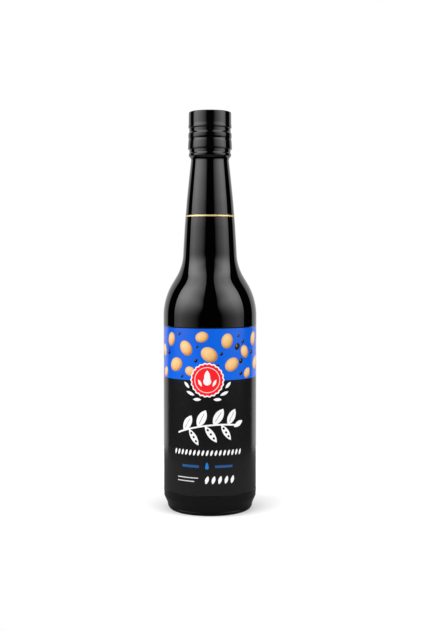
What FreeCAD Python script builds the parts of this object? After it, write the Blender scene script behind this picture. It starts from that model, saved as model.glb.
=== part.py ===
import FreeCAD, Part
import math
import os

# Soy sauce bottle, full and shut: a black glossy bottle, a printed label wrapped round its body,
# a gold line round its neck, and a closure made of a pouring collar and a screw lid.
# Millimetres, +Z up. The origin is the centre of the base, on the surface that the bottle stands
# on. The front of the label faces -Y, turned a little towards -X.

# Base and heel of the glass
heel_inset = 4.35          # from the body in to the edge of the flat ring it stands on
bearing_width = 3.4
push_up = 2.6              # how far the middle of the base is pushed up
push_up_flat = 12.5        # radius of the level middle of the push-up
push_up_fillet = 20.0
foot_height = 5.2          # from the standing surface to the hollow under the ridge
foot_flare = 2.2           # how much wider the glass is there than the bearing ring
foot_fillet = 3.0
foot_crown_height = 2.9    # the foot bulges a little between its edge and the hollow
foot_crown_flare = 1.75
ridge_height = 9.9         # the moulding ridge round the heel
ridge_inset = 0.25         # how much smaller the ridge is than the body
notch_height = 11.4        # the fine groove above the ridge
notch_depth = 0.45         # below the ridge
heel_height = 15.4         # where the label's recess starts
heel_fillet = 2.5
heel_land = 1.0            # the glass is at full radius this far below the recess

# Body and shoulder of the glass
body_radius = 35.55
panel_height = 125.4       # the shallow recess that takes the label
panel_depth = 0.25
panel_step = 0.5           # height of the slope at each end of the recess
shoulder_rise = 20.35      # from the top of the recess to the corner of the shoulder
shoulder_fillet = 48.0
slope_height = 24.25       # from the corner of the shoulder to the foot of the neck
neck_foot_radius = 20.9
neck_foot_fillet = 36.0

# Neck and mouth of the glass
neck_length = 81.35        # from the foot of the neck to the ring under the closure
neck_swell = 1.27          # how far the taper bulges at the middle of its height
neck_bow = 870.0           # radius of that bulge
neck_top_fillet = 3.2
mouth_radius = 13.6        # the plain mouth that the collar fits over
seat_width = 2.05          # the glass step that the collar rests on
seat_height = 3.4          # from the ring to the step
ring_projection = 0.45     # the ring below the step, beyond the step's edge
ring_height = 1.6
ring_undercut = 2.0        # height of the slope below the ring
ring_overhang = 1.85       # the ring beyond the top of the neck
ring_round = 0.8

# Closure: the collar stays on the bottle, and the lid screws onto the collar's spigot
fit_clearance = 0.1        # between pieces that slide over each other
collar_wall = 3.0          # at the lip, where the collar is thickest
collar_height = 15.8
collar_deck = 1.5          # over the glass mouth
lip_height = 1.1
lip_draft = 0.1            # how much smaller the lip's lower edge is
band_height = 6.2          # the lower band, from the bottom of the collar upwards
band_taper = 0.25
waist_height = 1.6         # from the band to the narrowest place of the waist
waist_depth = 0.55
bead_slope = 1.4           # from the waist to the bead
bead_height = 2.6
bead_inset = 0.25          # how much smaller the bead is than the lip
throat_slope = 1.3         # from the bead to the throat
throat_depth = 0.95        # the recess under the lid's rim
lid_gap = 0.4              # the dark line between the collar and the lid
lid_height = 12.0
lid_step = 0.42            # how far the lid's side stands out beyond the throat
lid_wall = 2.1
lid_flare = 0.25           # how much wider the lid's rim is than its side
lid_rim_height = 1.0
lid_flare_height = 2.0     # above the rim, where the flare dies out
lid_taper = 0.08
lid_top = 1.4
lid_edge_fillet = 0.9

# Label and gold line
label_thickness = 0.15
label_margin = 0.2         # from each slope of the recess to the label's edge
label_overlap = 9.0        # width of the glued overlap, at the back
label_turn = -3.3          # degrees that the front of the label is turned about the axis
gold_line_height = 1.5
gold_line_rise = 37.2      # from the foot of the neck to the bottom of the line
gold_line_thickness = 0.08

# Fillets shared by the pieces
edge = 0.2                 # an eased edge
soft_edge = 0.4
blend = 1.2                # between two rounded forms

# Places that follow from the sizes above
panel_bottom = heel_height
panel_top = panel_bottom + panel_height
shoulder_corner = panel_top + shoulder_rise
neck_foot = shoulder_corner + slope_height
neck_top = neck_foot + neck_length
ring_bottom = neck_top + ring_undercut
ring_top = ring_bottom + ring_height
collar_seat = ring_top + seat_height
collar_top = collar_seat + collar_height
collar_ceiling = collar_top - collar_deck
mouth_top = collar_ceiling - fit_clearance
lid_bottom = collar_top + lid_gap
overall_height = lid_bottom + lid_height
lid_ceiling = overall_height - lid_top

# Radii that follow from the sizes above
bearing_radius = body_radius - heel_inset
panel_radius = body_radius - panel_depth
ridge_radius = body_radius - ridge_inset
seat_radius = mouth_radius + seat_width
ring_radius = seat_radius + ring_projection
neck_radius = ring_radius - ring_overhang
collar_bore = mouth_radius + fit_clearance
lip_radius = collar_bore + collar_wall
throat_radius = lip_radius - throat_depth
lid_radius = throat_radius + lid_step
lid_bore = lid_radius - lid_wall
spigot_radius = lid_bore - fit_clearance

AXIS = FreeCAD.Vector(0, 0, 1)
ORIGIN = FreeCAD.Vector(0, 0, 0)
TINY = 1e-6


def tangent_lengths(points, fillets):
    """How far from each corner its fillet starts. Fillets that would meet share their run."""
    count = len(points)
    runs = [points[i].distanceToPoint(points[(i + 1) % count]) for i in range(count)]
    wanted = []
    for i in range(count):
        back = points[i - 1] - points[i]
        ahead = points[(i + 1) % count] - points[i]
        turn = math.pi - back.getAngle(ahead)
        wanted.append(fillets[i] * math.tan(turn / 2))
    lengths = []
    for i in range(count):
        before = wanted[i - 1] + wanted[i]
        after = wanted[i] + wanted[(i + 1) % count]
        share = min(1.0, runs[i - 1] / max(before, TINY), runs[i] / max(after, TINY))
        lengths.append(wanted[i] * share)
    return lengths


def fillet_arc(corner, back, ahead, length):
    """The arc that rounds a corner between two unit vectors that leave it."""
    half_angle = back.getAngle(ahead) / 2
    radius = length * math.tan(half_angle)
    inward = (back + ahead).normalize()
    middle = corner + inward * (radius / math.sin(half_angle) - radius)
    return Part.Arc(corner + back * length, middle, corner + ahead * length).toShape()


def rounded_outline(corners):
    """A closed wire in the XZ plane through corners of (radius, height, fillet)."""
    points = [FreeCAD.Vector(radius, 0, height) for radius, height, fillet in corners]
    lengths = tangent_lengths(points, [fillet for radius, height, fillet in corners])
    edges = []
    for i, point in enumerate(points):
        follower = (i + 1) % len(points)
        back = (points[i - 1] - point).normalize()
        ahead = (points[follower] - point).normalize()
        if lengths[i] > TINY:
            edges.append(fillet_arc(point, back, ahead, lengths[i]))
        start = point + ahead * lengths[i]
        end = points[follower] - ahead * lengths[follower]
        if start.distanceToPoint(end) > TINY:
            edges.append(Part.LineSegment(start, end).toShape())
    return Part.Wire(edges)


def turned(corners):
    """A solid of revolution about Z."""
    return Part.Face(rounded_outline(corners)).revolve(ORIGIN, AXIS, 360)


def base_corners():
    return [
        (0, push_up, 0),
        (push_up_flat, push_up, push_up_fillet),
        (bearing_radius - bearing_width, 0, blend),
    ]


def heel_corners(extra):
    """From the bearing ring to the body, moved out by extra."""
    return [
        (bearing_radius + extra, 0, blend),
        (bearing_radius + foot_crown_flare + extra, foot_crown_height, foot_fillet),
        (bearing_radius + foot_flare + extra, foot_height, foot_fillet),
        (ridge_radius + extra, ridge_height, soft_edge),
        (ridge_radius - notch_depth + extra, notch_height, soft_edge),
        (body_radius + extra, heel_height - heel_land, heel_fillet),
    ]


def body_corners(extra):
    """From the heel to the shoulder, moved out by extra."""
    return [
        (body_radius + extra, panel_bottom, soft_edge),
        (panel_radius + extra, panel_bottom + panel_step, soft_edge),
        (panel_radius + extra, panel_top - panel_step, soft_edge),
        (body_radius + extra, panel_top, soft_edge),
        (body_radius + extra, shoulder_corner, shoulder_fillet),
    ]


def neck_corners(extra):
    """From the foot of the neck to its top, moved out by extra."""
    middle_radius = (neck_foot_radius + neck_radius) / 2 + neck_swell
    return [
        (neck_foot_radius + extra, neck_foot, neck_foot_fillet),
        (middle_radius + extra, (neck_foot + neck_top) / 2, neck_bow),
        (neck_radius + extra, neck_top, neck_top_fillet),
    ]


def mouth_corners():
    """The ring under the closure, the step that carries it and the mouth inside it."""
    return [
        (ring_radius, ring_bottom, soft_edge),
        (ring_radius, ring_top, ring_round),
        (seat_radius, ring_top + ring_round, ring_round),
        (seat_radius, collar_seat, edge),
        (mouth_radius, collar_seat, edge),
        (mouth_radius, mouth_top, ring_round),
        (0, mouth_top, 0),
    ]


def bottle():
    """Glass and contents as one solid, on a flat ring round a shallow push-up."""
    side = heel_corners(0) + body_corners(0) + neck_corners(0)
    return turned(base_corners() + side + mouth_corners())


def skin(glass, bottom, top, thickness):
    """A sleeve of even thickness that lies on the glass between two heights."""
    side = heel_corners(thickness) + body_corners(thickness) + neck_corners(thickness)
    swollen = turned([(0, 0, 0)] + side + [(0, neck_top, 0)])
    slab = Part.makeCylinder(2 * body_radius, top - bottom, FreeCAD.Vector(0, 0, bottom))
    return swollen.common(slab).cut(glass)


def gold_line(glass):
    bottom = neck_foot + gold_line_rise
    return skin(glass, bottom, bottom + gold_line_height, gold_line_thickness)


def label(glass):
    """One turn of film, with its end glued over its start at the back."""
    bottom = panel_bottom + panel_step + label_margin
    top = panel_top - panel_step - label_margin
    wrap = skin(glass, bottom, top, label_thickness)
    inner = panel_radius + label_thickness
    outer = inner + label_thickness
    corners = [(inner, bottom, 0), (outer, bottom, 0), (outer, top, 0), (inner, top, 0)]
    flap_angle = math.degrees(label_overlap / inner)
    flap = Part.Face(rounded_outline(corners)).revolve(ORIGIN, AXIS, flap_angle)
    flap.rotate(ORIGIN, AXIS, 90 - flap_angle / 2 + label_turn)
    return wrap.fuse(flap).removeSplitter()


def collar():
    """The pouring collar: a cap over the glass mouth, with a plain spigot for the lid."""
    waist = collar_seat + band_height + waist_height
    bead_bottom = waist + bead_slope
    bead_top = bead_bottom + bead_height
    return turned([
        (collar_bore, collar_seat, 0),
        (lip_radius - lip_draft, collar_seat, edge),
        (lip_radius, collar_seat + lip_height, soft_edge),
        (lip_radius - band_taper, collar_seat + band_height, blend),
        (lip_radius - waist_depth, waist, blend),
        (lip_radius - bead_inset, bead_bottom, blend),
        (lip_radius - bead_inset, bead_top, blend),
        (throat_radius, bead_top + throat_slope, blend),
        (throat_radius, collar_top, edge),
        (spigot_radius, collar_top, edge),
        (spigot_radius, lid_ceiling, edge),
        (0, lid_ceiling, 0),
        (0, collar_ceiling, 0),
        (collar_bore, collar_ceiling, 0),
    ])


def lid():
    """The screw lid: a cup that rests on the spigot, with a slightly flared rim."""
    rim_radius = lid_radius + lid_flare
    rim_top = lid_bottom + lid_rim_height
    return turned([
        (lid_bore, lid_bottom, edge),
        (rim_radius, lid_bottom, edge),
        (rim_radius, rim_top, soft_edge),
        (lid_radius, rim_top + lid_flare_height, neck_top_fillet),
        (lid_radius - lid_taper, overall_height, lid_edge_fillet),
        (0, overall_height, 0),
        (0, lid_ceiling, 0),
        (lid_bore, lid_ceiling, 0),
    ])


def main():
    os.makedirs("parts", exist_ok=True)
    glass = bottle()
    nodes = {
        "bottle": glass,
        "label": label(glass),
        "gold_line": gold_line(glass),
        "collar": collar(),
        "lid": lid(),
    }
    for name, shape in nodes.items():
        print(name, len(shape.Solids), "solid,", round(shape.Volume), "mm3, valid", shape.isValid())
        shape.Solids[0].exportStep("parts/" + name + ".step")
    print("overall height", round(overall_height, 2))


main()
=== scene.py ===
import bpy
import math
from mathutils import Matrix, Vector


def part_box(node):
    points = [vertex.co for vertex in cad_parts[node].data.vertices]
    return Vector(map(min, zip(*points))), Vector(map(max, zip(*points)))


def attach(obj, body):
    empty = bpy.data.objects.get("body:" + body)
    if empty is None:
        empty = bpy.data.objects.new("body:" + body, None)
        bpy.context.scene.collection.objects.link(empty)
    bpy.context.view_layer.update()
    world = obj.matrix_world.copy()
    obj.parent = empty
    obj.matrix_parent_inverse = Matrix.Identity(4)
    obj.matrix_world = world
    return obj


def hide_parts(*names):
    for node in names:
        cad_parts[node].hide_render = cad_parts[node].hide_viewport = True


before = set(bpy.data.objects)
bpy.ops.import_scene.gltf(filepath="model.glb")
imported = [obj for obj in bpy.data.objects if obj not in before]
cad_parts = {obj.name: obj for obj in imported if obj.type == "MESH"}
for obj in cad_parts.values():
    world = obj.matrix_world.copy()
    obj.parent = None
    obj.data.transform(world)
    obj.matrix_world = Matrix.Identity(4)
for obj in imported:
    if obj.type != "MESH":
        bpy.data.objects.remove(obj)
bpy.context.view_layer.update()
MM = 0.001               # sizes below are in millimetres, and meshes are in metres


# ---- Glass bottle ----
# Blown in a two-part mould from thick glass and filled with dark sauce, so it looks black. It
# stands on a flat ring round a pushed-up base, and has a ridge where the base plate of the mould
# met its sides, a shallow recess for the label, and two fine mould seams, at its left and right.

glass_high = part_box("bottle")[1]
glass_height = glass_high.z / MM
body_radius = glass_high.x / MM
bearing_radius = body_radius - 4.35
ridge_radius = body_radius - 0.25
panel_radius = body_radius - 0.25
push_up = 2.6
panel_bottom = 15.4
panel_top = 140.8
shoulder_foot = 161.15
neck_foot = 185.4
neck_top = 266.75
collar_seat = 273.75
seat_radius = 15.65
bead_radius = seat_radius + 0.45
mouth_radius = 13.6
BOTTLE_OUTLINE = [
    # Push-up, bearing ring, fine ledge, ridge and the step into the recess.
    (0, push_up, 0), (12.5, push_up, 20), (bearing_radius - 3.4, 0, 1.2), (bearing_radius, 0, 1.2),
    (bearing_radius + 1.3, 2.2, 0.5), (bearing_radius + 1.15, 2.8, 0.5),
    (bearing_radius + 1.9, 5.2, 3), (ridge_radius, 10.2, 0.5),
    (ridge_radius - 0.1, 11.5, 1.5), (body_radius, panel_bottom - 1, 2.5),
    (body_radius, panel_bottom + 0.3, 0.06), (panel_radius, panel_bottom + 0.45, 0.04),
    # Recess, shoulder and hollowed neck.
    (panel_radius, panel_top - 0.5, 0.4), (body_radius, panel_top, 0.4),
    (body_radius, shoulder_foot, 48), (20.9, neck_foot, 36),
    (18.845, (neck_foot + neck_top) / 2, 870), (14.25, neck_top, 3.2),
    # Bead, seat of the collar and mouth.
    (bead_radius, neck_top + 2, 0.4), (bead_radius, neck_top + 3.6, 0.8),
    (seat_radius, neck_top + 4.4, 0.8), (seat_radius, collar_seat, 0.2),
    (mouth_radius, collar_seat, 0.2), (mouth_radius, glass_height, 0.8), (0, glass_height, 0),
]
SEAM_PLACES = (-math.pi / 2, math.pi / 2)
SEAM_WIDTH = 0.35
SEAM_PROUD = 0.05
SEAM_RUN_OUT = 6.0
SEAM_STEPS = (-0.8, -0.4, 0.4, 0.8)      # degrees to the extra rows of points beside a seam


def rounded(corners, turn_step=math.radians(3), run_step=2.5):
    """Points of an open outline through (radius, height, fillet) corners, in millimetres."""
    points = [Vector(corner[:2]) for corner in corners]
    arms = [end - start for start, end in zip(points, points[1:])]
    turns = [0.0] + [a.angle_signed(b) for a, b in zip(arms, arms[1:])] + [0.0]
    wanted = [corner[2] * abs(math.tan(turn / 2)) for corner, turn in zip(corners, turns)]
    outline = []
    for i, point in enumerate(points):
        reach = wanted[i]
        if 0 < i < len(points) - 1:
            reach *= min(1.0, arms[i - 1].length / (wanted[i - 1] + reach + 1e-9),
                         arms[i].length / (wanted[i + 1] + reach + 1e-9))
        if reach < 1e-4:
            outline.append(point)
            continue
        radius = reach / abs(math.tan(turns[i] / 2))
        back = -arms[i - 1].normalized()
        ahead = arms[i].normalized()
        centre = point + (back + ahead).normalized() * math.hypot(radius, reach)
        spoke = point + back * reach - centre
        count = max(3, math.ceil(abs(turns[i]) / turn_step))
        for k in range(count + 1):
            outline.append(centre + Matrix.Rotation(-turns[i] * k / count, 2) @ spoke)
    divided = [outline[0]]
    for start, end in zip(outline, outline[1:]):
        count = max(1, math.ceil((end - start).length / run_step))
        divided += [start.lerp(end, k / count) for k in range(1, count + 1)]
    return divided


def turned(name, outline, azimuths, stands_out=None, closed=False):
    """A mesh turned about Z from an outline in millimetres. stands_out gives how far a point of it
    lies outside the outline. An open outline starts and ends on the axis."""
    vertices = []
    faces = []
    rings = []
    for radius, height in outline:
        if radius < 1e-6:
            rings.append([len(vertices)] * len(azimuths))
            vertices.append((0, 0, height * MM))
            continue
        rings.append(range(len(vertices), len(vertices) + len(azimuths)))
        for azimuth in azimuths:
            out = radius + (stands_out(azimuth, radius, height) if stands_out else 0)
            vertices.append((out * math.sin(azimuth) * MM, -out * math.cos(azimuth) * MM,
                             height * MM))
    pairs = list(zip(rings, rings[1:]))
    if closed:
        pairs.append((rings[-1], rings[0]))
    for lower, upper in pairs:
        for k in range(len(azimuths)):
            after = (k + 1) % len(azimuths)
            corners = [lower[k], lower[after], upper[after], upper[k]]
            faces.append(list(dict.fromkeys(corners)))
    mesh = bpy.data.meshes.new(name)
    mesh.from_pydata(vertices, [], faces)
    mesh.shade_smooth()
    piece = bpy.data.objects.new(name, mesh)
    bpy.context.scene.collection.objects.link(piece)
    return piece


def mould_seam(azimuth, radius, height):
    """The glass lies on its outline along a seam and a little inside it elsewhere, so that the
    seam stands proud. That dies out towards the ends of the seam."""
    away = min(abs(azimuth - seam) for seam in SEAM_PLACES) * radius
    run = min(height - panel_top, neck_top - height) / SEAM_RUN_OUT
    return SEAM_PROUD * min(1, max(0, run)) * (math.exp(-(away / SEAM_WIDTH) ** 2) - 1)


def evenly(count, crowded=()):
    """Azimuths round the axis, with more of them near the crowded ones."""
    turns = [2 * math.pi * k / count - math.pi for k in range(count)]
    for middle in crowded:
        turns += [middle + math.radians(step) for step in SEAM_STEPS]
    return sorted(turns)


class Value:
    """A shader socket. Arithmetic on it adds Math nodes to its tree."""

    def __init__(self, tree, socket=None):
        self.tree = tree
        self.socket = socket

    def node(self, kind, settings, sockets):
        """Adds a node. Its settings come first, then the values or links of its sockets."""
        made = self.tree.nodes.new("ShaderNode" + kind)
        for setting, value in settings.items():
            if setting == "stops":
                for i, (position, colour) in enumerate(value):
                    stops = made.color_ramp.elements
                    stop = stops[i] if i < 2 else stops.new(position)
                    stop.position = position
                    stop.color = (*colour, 1)
            else:
                setattr(made, setting, value)
        for key, value in sockets.items():
            if isinstance(value, Value):
                self.tree.links.new(value.socket, made.inputs[key])
            else:
                made.inputs[key].default_value = value
        return made

    def out(self, kind, settings, sockets, output=0):
        return Value(self.tree, self.node(kind, settings, sockets).outputs[output])

    def math(self, operation, *numbers, clamp=False):
        settings = {"operation": operation, "use_clamp": clamp}
        return self.out("Math", settings, dict(enumerate(numbers)))

    def __add__(self, other):
        return self.math("ADD", self, other)

    __radd__ = __add__

    def __sub__(self, other):
        return self.math("SUBTRACT", self, other)

    def __rsub__(self, other):
        return self.math("SUBTRACT", other, self)

    def __mul__(self, other):
        return self.math("MULTIPLY", self, other)

    __rmul__ = __mul__

    def __truediv__(self, other):
        return self.math("DIVIDE", self, other)

    def __rtruediv__(self, other):
        return self.math("DIVIDE", other, self)

    def __pow__(self, other):
        return self.math("POWER", self, other)

    def __rpow__(self, other):
        return self.math("POWER", other, self)

    def __abs__(self):
        return self.math("ABSOLUTE", self)

    def low(self, other):
        return self.math("MINIMUM", self, other)

    def high(self, other):
        return self.math("MAXIMUM", self, other)

    def clamped(self):
        return self.math("ADD", self, 0, clamp=True)

    def rise(self, start, end):
        """0 below start, 1 above end and smooth between them."""
        sockets = {"Value": self, "From Min": start, "From Max": end}
        return self.out("MapRange", {"interpolation_type": "SMOOTHSTEP"}, sockets)


def material(name, **fixed):
    """A Principled material with its constant sockets set, and the Value that starts its maths."""
    made = bpy.data.materials.new(name)
    made.use_nodes = True
    shader = made.node_tree.nodes["Principled BSDF"]
    for key, value in fixed.items():
        shader.inputs[key.replace("_", " ")].default_value = value
    return made, shader, Value(made.node_tree)


def place(start):
    """Object coordinates, in metres."""
    return start.out("TexCoord", {}, {}, "Object")


def axes_of(vector):
    """X, Y and Z of a vector."""
    split = vector.node("SeparateXYZ", {}, {"Vector": vector})
    return [Value(vector.tree, split.outputs[k]) for k in range(3)]


def noise(vector, scale, detail=2.0, roughness=0.5):
    sockets = {"Vector": vector, "Scale": scale, "Detail": detail, "Roughness": roughness}
    return vector.out("TexNoise", {}, sockets, "Fac")


def drive(shader, key, value):
    """Lets a changing value or colour feed a socket of a shader."""
    value.tree.links.new(value.socket, shader.inputs[key])


def relief(shader, height, distance):
    """A bump of this height, which is about 0 to 1, over this distance in metres."""
    drive(shader, "Normal", height.out("Bump", {}, {"Height": height, "Distance": distance}))


bottle = turned("glass_bottle", rounded(BOTTLE_OUTLINE), evenly(240, SEAM_PLACES), mould_seam)
black_glass, shader, start = material(
    "black_glass", Base_Color=(0.0008, 0.0006, 0.0006, 1), IOR=1.52)
here = place(start)
height = axes_of(here)[2] / MM
STIPPLE_TOP = 1.2
stipple = noise(here, 2600.0, 1.0) * (1 - height.rise(0.5 * STIPPLE_TOP, STIPPLE_TOP))
waves = noise(here, 48.0) * 0.45
relief(shader, waves + stipple, 0.0001)
haze = noise(here, 34.0, 5.0, 0.65).rise(0.42, 0.78)
drive(shader, "Roughness", 0.02 + 0.035 * haze + 0.3 * stipple)
bottle.data.materials.append(black_glass)
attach(bottle, "root")
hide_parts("bottle")


# ---- Label ----
# A printed film, glued once round the body in its recess, with its end over its start at the
# back. Its print is flat fields of ink, with shaded beans in the blue band, under satin varnish.

label_low, label_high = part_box("label")
FILM = 0.15              # thickness
OVERLAP = 9.0
FLAP_LIFT = 0.14         # how far the end of the film stands off its start
FLAP_RAMP = 1.2          # length over which it rises
LABEL_TURN = math.radians(-3.3)
label_radius = panel_radius + FILM


def film_wrap(name, radius, bottom, top, overlap):
    """A closed strip of film, wound once with an overlap, whose start and end are at the back."""
    steps, rows = 360, 12
    ramp = FLAP_RAMP / radius
    total = 2 * math.pi + overlap / radius
    first = math.pi - overlap / radius / 2 + LABEL_TURN
    heights = [bottom + (top - bottom) * k / rows for k in range(rows + 1)]
    vertices = []
    faces = []
    for k in range(steps + 1):
        turn = total * k / steps
        lift = min(1, max(0, (turn - 2 * math.pi + ramp) / ramp)) * FLAP_LIFT
        for out in (radius - FILM + lift, radius + lift):
            for height in heights:
                vertices.append((out * math.sin(first + turn) * MM,
                                 -out * math.cos(first + turn) * MM, height * MM))
    across = len(heights)
    section = list(range(across)) + list(range(2 * across - 1, across - 1, -1))
    for k in range(steps):
        base = k * 2 * across
        after = base + 2 * across
        for a, b in zip(section, section[1:] + section[:1]):
            faces.append((base + a, base + b, after + b, after + a))
    faces.append(tuple(reversed(section)))
    faces.append(tuple(steps * 2 * across + a for a in section))
    mesh = bpy.data.meshes.new(name)
    mesh.from_pydata(vertices, [], faces)
    mesh.shade_smooth()
    mesh.set_sharp_from_angle(angle=math.radians(30))
    piece = bpy.data.objects.new(name, mesh)
    bpy.context.scene.collection.objects.link(piece)
    return piece


label = film_wrap("label_film", label_radius, label_low.z / MM, label_high.z / MM, OVERLAP)
print_film, shader, start = material("print_film", IOR=1.5)
here = place(start)
x, y, z = axes_of(here)
sideways = x * math.cos(LABEL_TURN) + y * math.sin(LABEL_TURN)
forwards = x * math.sin(LABEL_TURN) - y * math.cos(LABEL_TURN)
round_film = start.math("ARCTAN2", sideways, forwards) * label_radius    # from its front
up_film = z / MM
label_girth = 2 * math.pi * label_radius


def mark(place_round, place_up, tilt=0, along_film=round_film):
    """Distances along and across a mark that is centred there, tilted by this many degrees."""
    cosine = math.cos(math.radians(tilt))
    sine = math.sin(math.radians(tilt))
    beside = along_film - place_round
    above = up_film - place_up
    return beside * cosine + above * sine, above * cosine - beside * sine


def length(a, b):
    return (a * a + b * b) ** 0.5


def oval(spot, half_length, half_width):
    """This and the next shapes are distances in millimetres, negative inside the shape."""
    return (length(spot[0] / half_length, spot[1] / half_width) - 1) * half_width


def leaf(spot, half_length, half_width):
    radius = (half_length ** 2 + half_width ** 2) / (2 * half_width)
    return length(spot[0], abs(spot[1]) + (radius - half_width)) - radius


def block(spot, half_length, half_width):
    return (abs(spot[0]) - half_length).high(abs(spot[1]) - half_width)


def drop(place_round, place_up, radius):
    """A drop with its point upwards."""
    tip = leaf(mark(place_round, place_up + 0.95 * radius, 90), 1.9 * radius, 0.78 * radius)
    return oval(mark(place_round, place_up), radius, radius).low(tip)


def inside(distance, soft=0.14):
    """1 inside a shape and 0 outside it."""
    return (0.5 - distance / soft).clamped()


def edge_line(distance, width):
    """1 on a line of this width along the edge of a shape."""
    return inside(abs(distance) - width / 2)


def repeated(value, period):
    """A distance that starts again with each period, and is 0 in its middle."""
    return value.math("WRAP", value, period / 2, -period / 2)


def step_noise(value, pitch):
    """A random number from 0 to 1 for each pitch along a value."""
    step = value.math("FLOOR", value / pitch)
    return value.out("TexWhiteNoise", {"noise_dimensions": "1D"}, {"W": step})


def paint(under, over, mask):
    """A colour with another laid over it where the mask is 1."""
    return mask.out("Mix", {"data_type": "RGBA"}, {0: mask, 6: under, 7: over}, 2)


# A blue band above a black field.
INK = (0.0085, 0.0085, 0.0090, 1)
BLUE = (0.002, 0.128, 0.74, 1)
BLUE_DEEP = (0.002, 0.090, 0.62, 1)
BAND_BOTTOM = 102.0
depth = noise(here, 14.0, 1.0)
blue = paint(BLUE, BLUE_DEEP, depth.rise(0.4, 0.7))
colour = paint(INK, blue, inside(BAND_BOTTOM - up_film))

# Beans that tumble across the band, lit from above its left. The pattern is printed three times
# round the film. A bean is its place round and up the film, half length, half width and tilt.
BEANS = [
    (-31.5, 131.5, 5.4, 4.1, 72), (-26.0, 113.0, 6.3, 5.0, 24), (-16.5, 125.5, 6.0, 4.7, -52),
    (-4.0, 134.0, 4.9, 3.9, 16), (1.5, 121.0, 6.6, 5.2, -34), (15.0, 131.0, 5.6, 4.5, 78),
    (19.0, 113.5, 6.0, 4.7, 32), (31.0, 122.5, 5.0, 3.9, -62), (34.0, 106.5, 4.2, 3.4, 41),
    (-13.0, 108.5, 4.3, 3.5, -20),
]
BEAN_STOPS = [
    (0.0, (0.30, 0.115, 0.022)), (0.30, (0.55, 0.25, 0.07)), (0.62, (0.83, 0.46, 0.17)),
    (1.0, (1.0, 0.72, 0.36)),
]
band_repeat = repeated(round_film, label_girth / 3)
bean_cover = bean_tone = 0
for place_round, place_up, half_length, half_width, tilt in BEANS:
    edge = oval(mark(place_round, place_up, tilt, band_repeat), half_length, half_width)
    lit = (up_film - place_up) * 0.55 - (band_repeat - place_round) * 0.45
    near_edge = (edge / half_width + 1).rise(0.45, 1.05)
    tone = 0.74 + lit * (0.36 / half_width) - 0.34 * near_edge
    cover = inside(edge)
    bean_tone = bean_tone + tone * cover
    bean_cover = bean_cover + cover
speckle = noise(here, 900.0, 3.0) - 0.5
bean_colour = start.out("ValToRGB", {"stops": BEAN_STOPS}, {"Fac": bean_tone + speckle * 0.12})
colour = paint(colour, bean_colour, bean_cover)

# Dark drops between the beans, each with a warm glint. A drop is its place and its radius.
SAUCE = (0.009, 0.004, 0.003, 1)
GLINT = (0.55, 0.20, 0.06, 1)
DROP_TILT = 55
DROPS = [
    (7.5, 112.0, 1.5), (10.5, 121.5, 1.1), (23.5, 126.5, 2.2), (24.5, 134.5, 1.0),
    (27.0, 115.8, 1.7), (28.8, 130.0, 1.2), (26.8, 106.5, 1.3), (-22.5, 136.0, 1.1),
    (-8.5, 116.5, 1.2), (-34.5, 121.5, 1.5), (-20.0, 104.6, 1.0), (-7.5, 126.8, 0.9),
]
drops = glints = None
for place_round, place_up, radius in DROPS:
    edge = oval(mark(place_round, place_up, DROP_TILT, band_repeat), radius * 1.25, radius)
    shine = mark(place_round - 0.3 * radius, place_up + 0.35 * radius, DROP_TILT, band_repeat)
    glint = oval(shine, 0.38 * radius, 0.2 * radius)
    drops = drops.low(edge) if drops else edge
    glints = glints.low(glint) if glints else glint
colour = paint(colour, SAUCE, inside(drops))
colour = paint(colour, GLINT, inside(glints, 0.3))

# A scalloped seal over the lower edge of the band, with a drop between two leaves in it and a
# spray of leaves below it. A leaf of the spray is its turn from straight down and half length.
RED = (0.90, 0.018, 0.024, 1)
WHITE = (0.90, 0.90, 0.90, 1)
SEAL_UP = 102.3
SEAL_RADIUS = 11.6
SEAL_RIM = 1.0
SEAL_RING = 9.3
SCALLOPS = 22
SCALLOP_DEPTH = 0.32
SPRAY_RADIUS = 16.3
SPRAY_LEAN = 62
SPRAY_LEAVES = [(28, 3.1), (52, 3.5), (76, 3.1)]
beside, above = mark(0, SEAL_UP)
angle = start.math("ARCTAN2", above, beside)
scallops = SCALLOP_DEPTH * start.math("COSINE", angle * SCALLOPS)
seal = length(beside, above) - SEAL_RADIUS - scallops
colour = paint(colour, WHITE, inside(seal - SEAL_RIM))
colour = paint(colour, RED, inside(seal))
white_marks = edge_line(length(beside, above) - SEAL_RING, 0.42)
white_marks = white_marks.high(inside(drop(0, SEAL_UP - 1.0, 2.9)))
for side in (-1, 1):
    for turn, half_length in SPRAY_LEAVES:
        tilt = -90 + side * turn
        out_round = math.cos(math.radians(tilt)) * SPRAY_RADIUS
        out_up = math.sin(math.radians(tilt)) * SPRAY_RADIUS
        spot = mark(out_round, SEAL_UP + out_up, tilt + side * SPRAY_LEAN)
        white_marks = white_marks.high(inside(leaf(spot, half_length, 1.15)))
for place_round, tilt in ((-5.4, 118), (5.4, 62)):
    spot = mark(place_round, SEAL_UP - 2.2, tilt)
    white_marks = white_marks.high(inside(leaf(spot, 2.9, 1.0)))

# A bold sprig of bean plant across the front, with veined leaves above its stem and pods below.
# A leaf or pod is the place of its foot on the stem, half length, half width and tilt.
SPRIG_UP = 68.6
STEM_HALF_LENGTH = 23.5
STEM_HALF_WIDTH = 0.62
LEAVES = [(-18.5, 6.6, 3.1, 60), (-7.2, 7.0, 3.3, 64), (4.6, 7.0, 3.3, 58), (15.6, 6.4, 3.0, 62)]
PODS = [(-14.0, 7.0, 2.3, -58), (-1.8, 7.6, 2.5, -54), (10.4, 7.0, 2.3, -57)]
TIP_ROUND = 24.6


def stem_height(place_round):
    return SPRIG_UP + 0.12 * place_round - 0.006 * place_round * place_round


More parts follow.
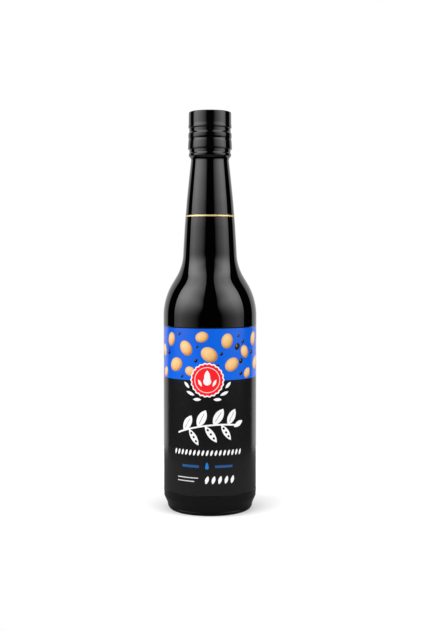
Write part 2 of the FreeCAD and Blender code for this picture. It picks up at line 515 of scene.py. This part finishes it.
stem = abs(up_film - stem_height(round_film)) - STEM_HALF_WIDTH
sprig = stem.high(abs(round_film) - STEM_HALF_LENGTH)
cuts = None
for place_round, half_length, half_width, tilt in LEAVES + PODS:
    lean = math.radians(tilt)
    spot = mark(place_round + math.cos(lean) * half_length,
                stem_height(place_round) + math.sin(lean) * half_length, tilt)
    sprig = sprig.low(leaf(spot, half_length, half_width))
    if tilt > 0:
        cut = block(spot, half_length * 0.6, 0.17)
    else:
        bean = (repeated(spot[0], half_length * 0.5), spot[1])
        cut = oval(bean, 0.95, 0.8).high(abs(spot[0]) - half_length * 0.75)
    cuts = cuts.low(cut) if cuts else cut
tip = mark(TIP_ROUND, stem_height(TIP_ROUND) + 1.2, 28)
sprig = sprig.low(leaf(tip, 4.4, 1.9))
white_marks = white_marks.high(inside(sprig) * (1 - inside(cuts)))

# A row of small seeds under the sprig.
SEEDS_UP = 48.2
SEED_PITCH = 3.25
SEEDS_HALF = 26.8
seed = mark(0, SEEDS_UP, 72, repeated(round_film, SEED_PITCH))
seeds = oval(seed, 2.15, 0.82).high(abs(round_film) - SEEDS_HALF)
white_marks = white_marks.high(inside(seeds))

# Five short leaves at the foot of the front, and two fine rules beside them. A rule is its height
# on the film and half length.
FOOT_UP = 28.0
FOOT_ROUND = 9.6
FOOT_PITCH = 4.9
RULES = [(29.3, 8.6), (26.7, 7.1)]
RULES_START = -24.0
foot = leaf(mark(0, FOOT_UP, 74, repeated(round_film - FOOT_ROUND, FOOT_PITCH)), 3.1, 1.3)
foot = foot.high(abs(round_film - FOOT_ROUND) - 2.5 * FOOT_PITCH)
white_marks = white_marks.high(inside(foot))
for place_up, half_length in RULES:
    rule = block(mark(RULES_START + half_length, place_up), half_length, 0.36)
    white_marks = white_marks.high(inside(rule) * 0.7)

# The back of the film: a ruled panel on one side of the overlap, and on the other a shorter one
# over a white block of plain stripes.
BACK_ROUND = 84.0
BACK_HALF = 21.0
BACK_TOP = 95.0
BACK_MARGIN = 2
ROW_PITCH = 3.4
for place_round, low_end in ((-BACK_ROUND, 22.5), (BACK_ROUND, 48.0)):
    half_height = (BACK_TOP - low_end) / 2
    spot = mark(place_round, (low_end + BACK_TOP) / 2)
    frame_line = edge_line(block(spot, BACK_HALF, half_height), 0.4)
    row = abs(repeated(up_film - low_end, ROW_PITCH))
    reach = BACK_HALF * (0.2 + 0.75 * step_noise(up_film - low_end + ROW_PITCH / 2, ROW_PITCH))
    within = block(spot, BACK_HALF - BACK_MARGIN, half_height - BACK_MARGIN)
    bar = (row - 0.5).high(spot[0] - reach).high(within)
    white_marks = white_marks.high(frame_line * 0.8).high(inside(bar) * 0.62)
STRIPES_UP = 34.0
STRIPE_PITCH = 0.62
stripe_field = mark(BACK_ROUND, STRIPES_UP)
stripe = (step_noise(round_film, STRIPE_PITCH) - 0.48).rise(-0.02, 0.02)
stripe = stripe * inside(block(stripe_field, 12.6, 6.8))
white_marks = white_marks.high(inside(block(stripe_field, 15.0, 9.0)) * (1 - stripe))
colour = paint(colour, WHITE, white_marks)

# Two blue bars with a blue drop between them, under the row of seeds.
BAR_BLUE = (0.018, 0.085, 0.25, 1)
DROP_BLUE = (0.007, 0.19, 0.62, 1)
BARS_UP = 38.0
bars = block(mark(-13.0, BARS_UP), 6.8, 0.95).low(block(mark(12.6, BARS_UP), 6.8, 0.95))
colour = paint(colour, BAR_BLUE, inside(bars))
colour = paint(colour, DROP_BLUE, inside(drop(-0.2, BARS_UP - 0.6, 1.35)))
drive(shader, "Base Color", colour)

varnish = noise(here, 260.0, 4.0, 0.6)
drive(shader, "Roughness", 0.17 + 0.05 * varnish.rise(0.3, 0.7))
relief(shader, noise(here, 60.0, 1.0) * 0.4 + varnish * 0.02, 0.00006)
label.data.materials.append(print_film)
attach(label, "root")
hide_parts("label")


# ---- Gold line ----
# A narrow line of gold foil, fired onto the neck, that follows the slope of the glass. It is
# a little worn, so that the foil is thin in places.

line_low, line_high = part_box("gold_line")
LINE_HEIGHT = 1.15
LINE_SLOPE = 0.086
LINE_THICKNESS = 0.2
line_top = line_high.z / MM
line_bottom = line_top - LINE_HEIGHT
foot_radius = line_high.x / MM - LINE_SLOPE * (line_bottom - line_low.z / MM)
top_radius = foot_radius - LINE_SLOPE * LINE_HEIGHT
gold = turned("neck_line", rounded([
    (foot_radius - LINE_THICKNESS, line_bottom, 0), (foot_radius, line_bottom, 0.04),
    (top_radius, line_top, 0.04), (top_radius - LINE_THICKNESS, line_top, 0)]),
    evenly(240), closed=True)
gold_foil, shader, start = material("gold_foil", Metallic=1.0)
here = place(start)
wear = noise(here, 420.0, 4.0, 0.6)
GOLD = (1.0, 0.84, 0.42, 1)
GOLD_THIN = (0.88, 0.64, 0.26, 1)
drive(shader, "Base Color", paint(GOLD, GOLD_THIN, wear.rise(0.5, 0.75)))
drive(shader, "Roughness", 0.56 + 0.12 * wear)
relief(shader, noise(here, 1500.0), 0.00002)
gold.data.materials.append(gold_foil)
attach(gold, "root")
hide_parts("gold_line")


# ---- Pouring collar ----
# Moulded in gloss black plastic and snapped over the mouth of the bottle. Its lip, waist and
# belt are turned forms. Its plain spigot reaches up inside the lid.

collar_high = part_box("collar")[1]
lip_radius = collar_high.x / MM
spigot_top = collar_high.z / MM
collar_top = collar_seat + 15.8
collar_ceiling = collar_top - 1.5
waist = collar_seat + 7.8
collar_bore = mouth_radius + 0.1
spigot_radius = 13.97
throat_radius = lip_radius - 0.95
belt_radius = lip_radius - 0.25
collar = turned("pouring_collar", rounded([
    (0, collar_ceiling, 0), (collar_bore, collar_ceiling, 0), (collar_bore, collar_seat, 0),
    (lip_radius - 0.1, collar_seat, 0.2), (lip_radius, collar_seat + 1.1, 0.4),
    (belt_radius, collar_seat + 6.2, 1.2), (lip_radius - 0.55, waist, 1.2),
    (belt_radius, waist + 1.4, 1.2), (belt_radius, waist + 4.0, 1.2),
    (throat_radius, waist + 5.3, 1.2), (throat_radius, collar_top, 0.2),
    (spigot_radius, collar_top, 0.2), (spigot_radius, spigot_top, 0.2),
    (0, spigot_top, 0)]), evenly(192))


def moulded_black(name):
    """Gloss black plastic with a faint flow and the fine grain of a polished mould, and the
    height of that flow and grain."""
    made, shader, start = material(name, Base_Color=(0.0011, 0.0011, 0.0012, 1), IOR=1.5)
    here = place(start)
    flow = noise(here, 70.0)
    grain = noise(here, 1900.0)
    drive(shader, "Roughness", 0.065 + 0.06 * flow.rise(0.4, 0.75) + 0.03 * grain)
    return made, shader, start, flow * 0.5 + grain * 0.06


SKIN_DEPTH = 0.00008
black_plastic, shader, start, skin = moulded_black("black_plastic")
relief(shader, skin, SKIN_DEPTH)
collar.data.materials.append(black_plastic)
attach(collar, "root")
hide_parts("collar")


# ---- Screw lid ----
# Moulded in the same plastic as the collar and screwed down over its spigot, with a hair's
# breadth between its flared rim and the collar. Its top has a ring and the mark of the gate.

lid_low, lid_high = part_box("lid")
lid_bottom = lid_low.z / MM
lid_top = lid_high.z / MM
lid_ceiling = lid_top - 1.4
lid_bore = spigot_radius + 0.1
rim_radius = lid_high.x / MM
lid_radius = rim_radius - 0.25
RING_RADIUS = 11.2
RING_DEPTH = 0.35
GATE_DEPTH = 0.3
lid = turned("screw_lid", rounded([
    (0, lid_ceiling, 0), (lid_bore, lid_ceiling, 0),
    (lid_bore, lid_bottom, 0.2), (rim_radius, lid_bottom, 0.2),
    (rim_radius, lid_bottom + 1, 0.4), (lid_radius, lid_bottom + 3, 3.2),
    (lid_radius - 0.08, lid_top, 0.9), (RING_RADIUS + 0.9, lid_top, 0.3),
    (RING_RADIUS + 0.3, lid_top - RING_DEPTH, 0.3),
    (RING_RADIUS - 0.3, lid_top - RING_DEPTH, 0.3), (RING_RADIUS - 0.9, lid_top, 0.3),
    (1.9, lid_top, 0.2), (1.3, lid_top - GATE_DEPTH, 0.3), (0, lid_top - GATE_DEPTH, 0)]),
    evenly(192))
lid_plastic, shader, start, skin = moulded_black("lid_plastic")
x, y = axes_of(place(start))[:2]
from_axis = length(x, y) / MM
turning = start.math("SINE", from_axis * 9.0) * 0.07 * (1 - from_axis.rise(14.0, 15.0))
relief(shader, skin + turning, SKIN_DEPTH)
lid.data.materials.append(lid_plastic)
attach(lid, "root")
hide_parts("lid")


# ---- Floor, light and camera ----
# A round white table that fades into a white backdrop, and a tall softbox on each side. What
# the bottle mirrors of the table is darker than the table, so that the glass stays black.

TABLE_RADIUS = 0.26
TABLE_SIDES = 96
table_mesh = bpy.data.meshes.new("table")
rim = [(TABLE_RADIUS * math.cos(turn), TABLE_RADIUS * math.sin(turn), 0)
       for turn in (2 * math.pi * k / TABLE_SIDES for k in range(TABLE_SIDES))]
table_mesh.from_pydata(rim, [], [tuple(range(TABLE_SIDES))])
table = bpy.data.objects.new("table", table_mesh)
bpy.context.scene.collection.objects.link(table)
table_white, shader, start = material(
    "table_white", Roughness=1.0, Specular_IOR_Level=0.0, Emission_Strength=1.0)
rays = start.node("LightPath", {}, {})
seen, mirrored, through = (Value(start.tree, rays.outputs[name]) for name in (
    "Is Camera Ray", "Is Glossy Ray", "Is Transmission Ray"))

# The table glows more and more away from the foot of the bottle, up to the backdrop's white.
# That glow is painted light and is weakest at the foot, so the table round the bottle carries
# painted shade that deepens its cast shadow.
GLOW_START = 0.03
GLOW_REACH = 0.22
x, y = axes_of(place(start))[:2]
painted_glow_fade = ((length(x, y) - GLOW_START) / GLOW_REACH).clamped() ** 0.6
glow = seen.high(through) * (0.08 + 0.8 * painted_glow_fade)
drive(shader, "Emission Color", paint((0, 0, 0, 1), (1, 1, 1, 1), glow))
TABLE_TOP = (0.76, 0.76, 0.76, 1)
TABLE_MIRRORED = (0.16, 0.16, 0.16, 1)
drive(shader, "Base Color", paint(TABLE_TOP, TABLE_MIRRORED, mirrored))
table_mesh.materials.append(table_white)

# The backdrop is white to the camera. What the bottle mirrors of it is pale behind the bottle and
# black elsewhere, and it adds a little soft light from all round.
world = bpy.data.worlds.new("studio")
world.use_nodes = True
bpy.context.scene.world = world
start = Value(world.node_tree)
rays = start.node("LightPath", {}, {})
seen, mirrored, through, scattered = (Value(start.tree, rays.outputs[name]) for name in (
    "Is Camera Ray", "Is Glossy Ray", "Is Transmission Ray", "Is Diffuse Ray"))
dx, dy = axes_of(start.out("TexCoord", {}, {}, "Generated"))[:2]
backdrop = (dy / (length(dx, dy) + 1e-6)).rise(0.58, 0.66)
strength = seen + mirrored.high(through) * backdrop * 0.8 + scattered * (0.35 + 0.45 * backdrop)
background = world.node_tree.nodes["Background"]
background.inputs["Color"].default_value = (1, 1, 1, 1)
drive(background, "Strength", strength)

LAMP_DISTANCE = 1.1
LAMP_BOTTOM = 0.03
LAMP_TOP = 2.6


def softbox(name, azimuth, half_angle, radiance):
    """A tall light that faces the bottle. It is brightest a third of the way up, and fades
    towards its top, its foot and the side nearer the camera. That side is cut back at its foot
    and reaches further in at its top."""
    width = 2 * LAMP_DISTANCE * math.tan(math.radians(half_angle))
    lamp = bpy.data.lights.new(name, "AREA")
    lamp.shape = "RECTANGLE"
    lamp.size = width
    lamp.size_y = LAMP_TOP - LAMP_BOTTOM
    lamp.energy = radiance * math.pi * width * (LAMP_TOP - LAMP_BOTTOM)
    lamp.use_nodes = True
    start = Value(lamp.node_tree)
    outward, upward = axes_of(start.out("NewGeometry", {}, {}, "Parametric"))[:2]
    if azimuth < 0:
        outward = 1 - outward
    inner = 0.03 - 0.16 * (1 - upward.rise(0.0, 0.26)) + 0.2 * upward.rise(0.35, 0.75)
    across = ((outward + inner) / 0.6).clamped() * (1 - 0.3 * outward.rise(0.7, 1.0))
    glow = across * (0.24 + 0.76 * upward.rise(0.0, 0.3)) * (1 - 0.45 * upward.rise(0.36, 0.8))
    drive(lamp.node_tree.nodes["Emission"], "Strength", glow)
    light = bpy.data.objects.new(name, lamp)
    bpy.context.scene.collection.objects.link(light)
    turn = math.radians(azimuth)
    middle = (LAMP_BOTTOM + LAMP_TOP) / 2
    light.location = (math.sin(turn) * LAMP_DISTANCE, -math.cos(turn) * LAMP_DISTANCE, middle)
    aim = Vector((0, 0, middle)) - light.location
    light.rotation_mode = "QUATERNION"
    light.rotation_quaternion = aim.to_track_quat("-Z", "Y")
    light.visible_camera = False


softbox("softbox_left", azimuth=-57.0, half_angle=40.0, radiance=4.6)
softbox("softbox_right", azimuth=55.0, half_angle=36.0, radiance=4.0)

CAMERA_DOWN = 3.317      # degrees below level
camera_data = bpy.data.cameras.new("camera")
camera_data.lens = 59.56
camera_data.sensor_width = 36
camera = bpy.data.objects.new("camera", camera_data)
bpy.context.scene.collection.objects.link(camera)
camera.location = (0.0004, -0.798, 0.1941)
camera.rotation_euler = (math.radians(90 - CAMERA_DOWN), 0, 0)
bpy.context.scene.camera = camera
bpy.context.scene.view_settings.view_transform = "Standard"
